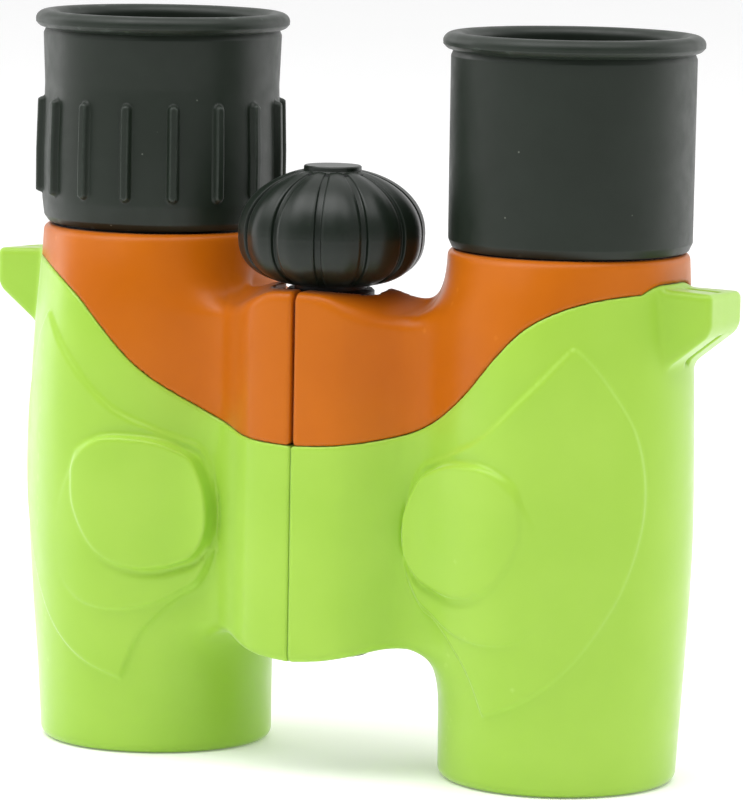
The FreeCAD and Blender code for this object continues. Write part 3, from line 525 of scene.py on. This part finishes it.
def eyecups(materials):
    """The plain cup on the +X barrel and the ribbed dioptre grip on the -X barrel."""
    rubber = materials["black_rubber"]

    def parting(r, z, rim):
        """The fine mould line round the bead."""
        line = np.exp(-((z - rim + PARTING_DOWN) / PARTING_WIDE) ** 2)
        return PARTING_HIGH * line * (r > CUP_WALL + 0.6)

    base = ARMOUR_TOP + LEFT_CUP_GAP
    foot = [(15.5, base, 0.2), (CUP_WALL, base + 1.1, 0.5), (CUP_WALL + 0.03, 82, 20)]
    path = subdivided(cup_path(LEFT_CUP_RIM, base, LEFT_CUP_BORE, foot), 0.6)
    points, quads = turned(path, np.linspace(0, math.tau, 256, endpoint=False), (BARREL_X, BARREL_Y),
                           lambda a, r, z: parting(r, z, LEFT_CUP_RIM))
    new_piece("left_eyecup_rubber", points, quads, "left_half", rubber, ["left_eyecup"])

    pitch = math.tau / RIBS

    def ribbed(angle, r, z):
        """The ribs and the mould line."""
        off = (angle - RIB_PHASE + pitch / 2) % pitch - pitch / 2
        half = RIB_WIDTH / 2
        along = np.maximum(np.maximum(RIB_LOW + half - z, z - RIB_HIGH + half), 0)
        edge = half - np.hypot(off * CUP_WALL, along)
        rib = RIB_PROUD * ease(edge / RIB_FLANK + 0.3) * (r > CUP_WALL - 0.6)
        return rib + parting(r, z, RIGHT_CUP_RIM)

    base = ARMOUR_TOP + RIGHT_CUP_GAP
    foot = [(15.1, base, 0.3), (15.75, base + 0.9, 0.6), (CUP_WALL + 0.05, 73.6, 6),
            (CUP_WALL + 0.05, 80, 20), (CUP_WALL - 0.2, 89, 12)]
    path = subdivided(cup_path(RIGHT_CUP_RIM, base, RIGHT_CUP_BORE, foot), 0.2)
    near = np.linspace(-RIB_ZONE, RIB_ZONE, 20, endpoint=False) / CUP_WALL
    far = np.linspace(RIB_ZONE / CUP_WALL, pitch - RIB_ZONE / CUP_WALL, 8, endpoint=False)
    angles = np.concatenate([RIB_PHASE + i * pitch + np.concatenate([near, far]) for i in range(RIBS)])
    points, quads = turned(path, angles, (-BARREL_X, BARREL_Y), ribbed)
    new_piece("right_eyecup_rubber", points, quads, "dioptre_ring", rubber,
              ["right_eyecup"])


# ---------------------------------------------------------------- focus wheel
WHEEL_R, WHEEL_Z = 12.36, 71.3
WHEEL_BASE, WHEEL_CROWN = 64.5, 79.55
WHEEL_BORE, WHEEL_MOUTH = 4.87, 3.9
UPPER_HALF, UPPER_POWER = 8.6, 2.1
LOWER_HALF, LOWER_POWER = 7.1, 2.7
LOBES, CHANNEL_PHASE = 12, math.radians(-43.2)
CHANNEL_HALF, CHANNEL_DEEP, CHANNEL_WALL = 0.42, 0.5, 0.14
CHANNEL_FULL_R, CHANNEL_NARROWEST = 7.5, 0.62           # within this radius the channels get narrower
CHANNEL_RUN_OUT = 1.2                                   # height over which they end at the wheel's foot
LOBE_ROUND, LOBE_SHOULDER = 0.34, 0.45                  # depth, and share of a lobe's width
EQUATOR_HIGH, EQUATOR_WIDE = 0.05, 0.09                 # the mould line


def wheel_radius(z):
    """The ball's outline: one oval above its equator and a squarer one below."""
    up = z >= WHEEL_Z
    half = np.where(up, UPPER_HALF, LOWER_HALF)
    power = np.where(up, UPPER_POWER, LOWER_POWER)
    share = np.clip(np.abs(z - WHEEL_Z) / half, 0, 1)
    return WHEEL_R * (1 - share ** power) ** (1 / power)


def focus_wheel(materials):
    """The rubber ball with 12 lobes between flat-bottomed channels."""
    turns = np.linspace(math.asin((WHEEL_BASE - WHEEL_Z) / LOWER_HALF),
                        math.asin((WHEEL_CROWN - WHEEL_Z) / UPPER_HALF), 84)
    heights = WHEEL_Z + np.where(turns < 0, LOWER_HALF, UPPER_HALF) * np.sin(turns)
    radii = wheel_radius(heights)
    skin = np.stack([radii, heights], -1)
    inner = np.array([(WHEEL_MOUTH, WHEEL_CROWN), (WHEEL_MOUTH, WHEEL_CROWN - 0.35),
                      (WHEEL_BORE, WHEEL_CROWN - 0.5), (WHEEL_BORE, WHEEL_BASE + 3),
                      (WHEEL_BORE, WHEEL_BASE)])
    path = np.concatenate([skin, inner])
    pitch = math.tau / LOBES
    r = np.maximum(path[:, :1], 0.1)
    channel = CHANNEL_HALF * np.clip(r / CHANNEL_FULL_R, CHANNEL_NARROWEST, 1) / r
    wall = CHANNEL_WALL / r
    lobe = pitch - 2 * (channel + wall)
    across = np.concatenate([channel * np.linspace(-1, 1, 5),
                             channel + wall * np.linspace(0.25, 0.75, 3),
                             channel + wall + lobe * np.linspace(0, 1, 15),
                             pitch - channel - wall * np.linspace(0.75, 0.25, 3)], axis=1)
    angles = np.concatenate([CHANNEL_PHASE + i * pitch + across for i in range(LOBES)], axis=1)
    on_skin = np.arange(len(path))[:, None] < len(skin)
    fade = ease((path[:, 1:] - WHEEL_BASE) / CHANNEL_RUN_OUT)

    def grooves(angle, radius, z):
        """Channels, the lobes' rounding and the mould line, on the outside only."""
        off = np.abs((angle - CHANNEL_PHASE + pitch / 2) % pitch - pitch / 2)
        wall_share = ease((off - channel) / wall)
        crown = ease((off - channel - wall) / (LOBE_SHOULDER * lobe))
        line = EQUATOR_HIGH * np.exp(-((z - WHEEL_Z) / EQUATOR_WIDE) ** 2)
        return on_skin * ((wall_share - 1) * CHANNEL_DEEP * fade - LOBE_ROUND * (1 - crown) * fade + line)

    points, quads = turned(path, angles, (0, HINGE_Y), grooves)
    new_piece("focus_wheel_rubber", points, quads, "focus_wheel",
              materials["black_rubber"], ["focus_wheel_grip"])


# ---------------------------------------------------------------- materials
POLISH_START, POLISH_FULL = 13.6, 12.6    # the wheel's rubber is glossier within this distance of its axis


class Nodes:
    """A node tree with a Principled surface, built a node at a time."""

    def __init__(self, name):
        self.material = bpy.data.materials.new(name)
        self.material.use_nodes = True
        self.tree = self.material.node_tree
        self.surface = self.tree.nodes["Principled BSDF"]
        self.place = self.tree.nodes.new("ShaderNodeTexCoord").outputs["Object"]

    def link(self, source, target):
        self.tree.links.new(source, target)

    def set(self, **values):
        """Constants on the surface's own sockets. Underscores stand for spaces."""
        for name, number in values.items():
            self.surface.inputs[name.replace("_", " ")].default_value = number

    def noise(self, size, detail, stretch=None):
        """Noise with features about size millimetres across."""
        node = self.tree.nodes.new("ShaderNodeTexNoise")
        node.inputs["Scale"].default_value = 1 / (size * MM)
        node.inputs["Detail"].default_value = detail
        source = self.place
        if stretch:
            mapping = self.tree.nodes.new("ShaderNodeMapping")
            mapping.inputs["Scale"].default_value = stretch
            self.link(self.place, mapping.inputs["Vector"])
            source = mapping.outputs["Vector"]
        self.link(source, node.inputs["Vector"])
        return node.outputs["Fac"]

    def ramp(self, source, *stops):
        """Grey ramp between two (position, value) stops."""
        node = self.tree.nodes.new("ShaderNodeValToRGB")
        for element, (position, value) in zip(node.color_ramp.elements, stops):
            element.position = position
            element.color = (value, value, value, 1)
        self.link(source, node.inputs["Fac"])
        return node.outputs["Color"]

    def mix(self, share, first, second):
        """Mixes two colours. Any input may be a socket or a constant."""
        node = self.tree.nodes.new("ShaderNodeMix")
        node.data_type = "RGBA"
        sockets = [node.inputs[i] for i in (0, 6, 7)]       # its share, and its colours A and B
        for socket, entry in zip(sockets, (share, first, second)):
            if isinstance(entry, bpy.types.NodeSocket):
                self.link(entry, socket)
            else:
                socket.default_value = (*entry, 1) if isinstance(entry, tuple) else entry
        return node.outputs[2]

    def bump(self, source, height, before=None):
        """Bump of a height in millimetres."""
        node = self.tree.nodes.new("ShaderNodeBump")
        node.inputs["Distance"].default_value = height * MM
        node.inputs["Strength"].default_value = 1.0
        self.link(source, node.inputs["Height"])
        if before:
            self.link(before, node.inputs["Normal"])
        return node.outputs["Normal"]

    def near_axis(self, x, y, start, full):
        """0 beyond start millimetres from the upright axis at (x, y) and 1 within full."""
        shift = self.tree.nodes.new("ShaderNodeVectorMath")
        shift.operation = "MULTIPLY_ADD"
        shift.inputs[1].default_value = (1, 1, 0)
        shift.inputs[2].default_value = (-x * MM, -y * MM, 0)
        self.link(self.place, shift.inputs[0])
        length = self.tree.nodes.new("ShaderNodeVectorMath")
        length.operation = "LENGTH"
        self.link(shift.outputs["Vector"], length.inputs[0])
        share = self.tree.nodes.new("ShaderNodeMapRange")
        for name, number in (("From Min", start * MM), ("From Max", full * MM)):
            share.inputs[name].default_value = number
        self.link(length.outputs["Value"], share.inputs["Value"])
        return share.outputs["Result"]

    def edges(self, start, full):
        """0 up to the start and 1 from full on: above 0.5 on convex edges, below 0.5 in creases."""
        node = self.tree.nodes.new("ShaderNodeNewGeometry")
        stops = sorted([(start, 0.0), (full, 1.0)])
        return self.ramp(node.outputs["Pointiness"], *stops)


def satin_shell(name, colour, deep, pale, gloss, sheen):
    """Moulded armour: a satin skin with fine grain, faint flow marks, a painted highlight on its convex
    edges and painted shade in its creases.
    """
    n = Nodes(name)
    flow = n.ramp(n.noise(14, 3), (0.35, 0.0), (0.68, 1.0))
    tone = n.mix(flow, deep, colour)
    # Painted highlight: convex edges are made paler in patches, towards the pale colour.
    edge_highlight = n.ramp(n.edges(0.56, 0.66), (0.0, 0.0), (1.0, 0.5))
    tone = n.mix(n.mix(n.noise(1.2, 2), (0.0, 0.0, 0.0), edge_highlight), tone, pale)
    # Painted shade: concave creases are darkened towards a darker copy of the deep colour.
    crease_shade = n.edges(0.43, 0.32)
    tone = n.mix(n.mix(0.7, (0.0, 0.0, 0.0), crease_shade), tone, tuple(c * 0.55 for c in deep))
    n.link(tone, n.surface.inputs["Base Color"])
    n.link(n.ramp(n.noise(3.0, 4), (0.3, 0.30), (0.7, 0.40)), n.surface.inputs["Roughness"])
    grain = n.bump(n.noise(0.22, 2), 0.006)
    n.link(n.bump(n.noise(5.0, 1), 0.012, grain), n.surface.inputs["Normal"])
    n.set(Specular_IOR_Level=gloss, Sheen_Weight=sheen, Sheen_Roughness=0.3)
    return n.material


def soft_rubber(name):
    """Matte black rubber with a fine skin, a painted highlight on its convex edges and a few specks of
    lint.
    """
    n = Nodes(name)
    flow = n.ramp(n.noise(9, 3), (0.3, 0.0), (0.7, 1.0))
    tone = n.mix(flow, (0.0065, 0.0118, 0.0065), (0.0092, 0.0155, 0.0095))
    # Painted highlight: convex edges are made lighter in patches.
    rubber_edge_highlight = n.mix(n.noise(0.8, 2), (0.0, 0.0, 0.0), n.edges(0.51, 0.56))
    tone = n.mix(rubber_edge_highlight, tone, (0.045, 0.058, 0.047))
    cells = n.tree.nodes.new("ShaderNodeTexVoronoi")
    cells.inputs["Scale"].default_value = 1 / (4.5 * MM)
    n.link(n.place, cells.inputs["Vector"])
    speck = n.ramp(cells.outputs["Distance"], (0.0, 1.0), (0.032, 0.0))
    tone = n.mix(speck, tone, (0.22, 0.24, 0.2))
    polished = n.near_axis(0, HINGE_Y, POLISH_START, POLISH_FULL)
    n.link(n.mix(polished, tone, (0.006, 0.0105, 0.0065)), n.surface.inputs["Base Color"])
    dull = n.ramp(n.noise(2.5, 4), (0.3, 0.38), (0.7, 0.50))
    n.link(n.mix(polished, dull, (0.36, 0.36, 0.36)), n.surface.inputs["Roughness"])
    n.link(n.bump(n.noise(0.16, 3), 0.008), n.surface.inputs["Normal"])
    n.set(Specular_IOR_Level=0.33, Sheen_Weight=0.03, Sheen_Roughness=0.3)
    return n.material


def hard_plastic(name, colour, roughness):
    """Black moulded plastic with a spark-eroded grain."""
    n = Nodes(name)
    lighter = tuple(c * 1.7 for c in colour)
    n.link(n.mix(n.noise(2.0, 3), colour, lighter), n.surface.inputs["Base Color"])
    dull = n.ramp(n.noise(0.8, 3), (0.3, roughness), (0.7, roughness + 0.12))
    n.link(dull, n.surface.inputs["Roughness"])
    n.link(n.bump(n.noise(0.12, 2), 0.01), n.surface.inputs["Normal"])
    return n.material


def metal(name, colour, roughness, stretch):
    """Turned or rolled metal with fine tool lines."""
    n = Nodes(name)
    lines = n.noise(0.12, 2, stretch=stretch)
    darker = tuple(c * 0.75 for c in colour)
    n.link(n.mix(lines, darker, colour), n.surface.inputs["Base Color"])
    dull = n.ramp(n.noise(1.5, 3), (0.3, roughness), (0.7, roughness + 0.15))
    n.link(dull, n.surface.inputs["Roughness"])
    n.link(n.bump(lines, 0.003), n.surface.inputs["Normal"])
    n.set(Metallic=1.0)
    return n.material


def optical_glass(name, tint, coating):
    """Polished glass. coating is how strongly the film colours its reflection."""
    n = Nodes(name)
    lighter = tuple(min(1, c * 1.04) for c in tint)
    n.link(n.mix(n.noise(3.0, 2), tint, lighter), n.surface.inputs["Base Color"])
    n.link(n.ramp(n.noise(1.0, 3), (0.4, 0.015), (0.8, 0.05)), n.surface.inputs["Roughness"])
    n.set(Transmission_Weight=1.0, IOR=1.52, Coat_Weight=coating, Coat_Roughness=0.02)
    n.surface.inputs["Coat Tint"].default_value = (0.45, 0.55, 1.0, 1)
    return n.material


def make_materials():
    """One material for each of the record's slots."""
    return {
        # In each armour, pale is the painted highlight on convex edges, and a darker copy of deep is the
        # painted shade in creases; deep also tints the flow marks.
        "green_armour": satin_shell(
            "green_armour", colour=(0.342, 0.572, 0.057), deep=(0.317, 0.547, 0.048),
            pale=(0.48, 0.70, 0.16), gloss=0.35, sheen=0.45),
        "orange_armour": satin_shell(
            "orange_armour", colour=(0.51, 0.127, 0.002), deep=(0.47, 0.112, 0.0014),
            pale=(0.68, 0.22, 0.03), gloss=0.2, sheen=0.1),
        "black_rubber": soft_rubber("black_rubber"),
        "black_plastic": hard_plastic("black_plastic", (0.012, 0.012, 0.013), 0.42),
        "coated_glass": optical_glass("coated_glass", (0.9, 0.94, 1.0), 0.6),
        "clear_glass": optical_glass("clear_glass", (0.96, 0.98, 0.97), 0.0),
        "spring_steel": metal("spring_steel", (0.52, 0.52, 0.54), 0.3, (1, 0.1, 1)),
        "steel": metal("steel", (0.6, 0.6, 0.62), 0.22, (0.15, 0.15, 1)),
        "anodised_aluminium": metal("anodised_aluminium", (0.03, 0.03, 0.033), 0.38, (0.15, 0.15, 1)),
        "brass": metal("brass", (0.78, 0.56, 0.24), 0.25, (0.15, 0.15, 1)),
    }


def dress_frame(materials):
    """Every CAD node takes the material of its slot."""
    for part in frame["record"]["subparts"]:
        piece = frame["nodes"][part["node"]]
        piece.data.materials.clear()
        piece.data.materials.append(materials[part["material_slot"]])
        piece.data.shade_smooth()
        piece.data.set_sharp_from_angle(angle=math.radians(35))


# ---------------------------------------------------------------- floor, lights, camera
VIEW_AZIMUTH, VIEW_ELEVATION, VIEW_ROLL = math.radians(25.37), math.radians(7.336), math.radians(1.019)
VIEW_TARGET, VIEW_DISTANCE = (5.077, -4.568, 49.124), 720   # in millimetres
FLOOR_HALF = 6.0                                    # half the floor's side in metres


def studio():
    """A pale floor in a white room that is dimmer on the camera's side."""
    n = Nodes("studio_floor")
    n.link(n.mix(n.noise(60, 3), (0.92, 0.92, 0.92), (0.95, 0.95, 0.95)), n.surface.inputs["Base Color"])
    n.link(n.ramp(n.noise(4, 3), (0.3, 0.6), (0.7, 0.7)), n.surface.inputs["Roughness"])
    n.surface.inputs["Emission Color"].default_value = (1, 1, 1, 1)
    n.set(Emission_Strength=0.12)
    corners = [(x * FLOOR_HALF, y * FLOOR_HALF, 0) for x, y in ((-1, -1), (1, -1), (1, 1), (-1, 1))]
    mesh = bpy.data.meshes.new("floor")
    mesh.from_pydata(corners, [], [(0, 1, 2, 3)])
    floor = bpy.data.objects.new("floor", mesh)
    bpy.context.scene.collection.objects.link(floor)
    mesh.materials.append(n.material)

    world = bpy.data.worlds.new("studio")
    world.use_nodes = True
    tree = world.node_tree
    background = tree.nodes["Background"]
    background.inputs["Color"].default_value = (1, 1, 1, 1)
    direction = tree.nodes.new("ShaderNodeTexCoord").outputs["Generated"]
    towards_front = tree.nodes.new("ShaderNodeVectorMath")
    towards_front.operation = "DOT_PRODUCT"
    towards_front.inputs[1].default_value = (math.sin(VIEW_AZIMUTH), -math.cos(VIEW_AZIMUTH), 0)
    dimming = tree.nodes.new("ShaderNodeMapRange")
    for name, number in (("From Min", -0.1), ("From Max", 1.0), ("To Min", 1.0), ("To Max", 0.27)):
        dimming.inputs[name].default_value = number
    tree.links.new(direction, towards_front.inputs[0])
    tree.links.new(towards_front.outputs["Value"], dimming.inputs["Value"])
    tree.links.new(dimming.outputs["Result"], background.inputs["Strength"])
    bpy.context.scene.world = world
    bpy.context.scene.view_settings.view_transform = "Standard"


def softbox(name, azimuth, elevation, distance, size, power):
    """A rectangular soft light aimed at the middle of the object. Azimuth as for the camera."""
    light = bpy.data.lights.new(name, "AREA")
    light.shape = "RECTANGLE"
    light.size, light.size_y = size
    light.energy = power
    turn, lift = math.radians(azimuth), math.radians(elevation)
    aim = Vector((math.sin(turn) * math.cos(lift), -math.cos(turn) * math.cos(lift), math.sin(lift)))
    lamp = bpy.data.objects.new(name, light)
    lamp.location = Vector((0, 0, 0.05)) + aim * distance
    lamp.rotation_euler = aim.to_track_quat("Z", "Y").to_euler()
    bpy.context.scene.collection.objects.link(lamp)


def lights():
    """A key light, one along each side, and a large one overhead."""
    softbox("key", azimuth=-35, elevation=55, distance=0.9, size=(0.9, 0.8), power=2.7)
    softbox("left_rim", azimuth=-95, elevation=12, distance=0.6, size=(0.25, 0.6), power=0.9)
    softbox("right_side", azimuth=138, elevation=12, distance=0.8, size=(0.6, 0.7), power=1.6)
    softbox("overhead", azimuth=15, elevation=76, distance=0.9, size=(1.4, 0.6), power=7.0)


def camera():
    """The view: 25 degrees round to the +X side, a little above, leaning by a degree."""
    azimuth, elevation, roll = VIEW_AZIMUTH, VIEW_ELEVATION, VIEW_ROLL
    target = Vector(VIEW_TARGET) * MM
    distance = VIEW_DISTANCE * MM
    right = Vector((math.cos(azimuth), math.sin(azimuth), 0))
    ahead = Vector((-math.cos(elevation) * math.sin(azimuth), math.cos(elevation) * math.cos(azimuth),
                    -math.sin(elevation)))
    up = right.cross(ahead)
    right, up = (right * math.cos(roll) + up * math.sin(roll),
                 up * math.cos(roll) - right * math.sin(roll))
    data = bpy.data.cameras.new("camera")
    data.lens = 245.385
    data.sensor_width = 36
    data.clip_end = 50
    cam = bpy.data.objects.new("camera", data)
    facing = Matrix((right, up, -ahead)).transposed().to_4x4()
    cam.matrix_world = Matrix.Translation(target - ahead * distance) @ facing
    bpy.context.scene.collection.objects.link(cam)
    bpy.context.scene.camera = cam


# ---------------------------------------------------------------- the scene
materials = make_materials()
dress_frame(materials)
armour(materials)
eyecups(materials)
focus_wheel(materials)
studio()
lights()
camera()
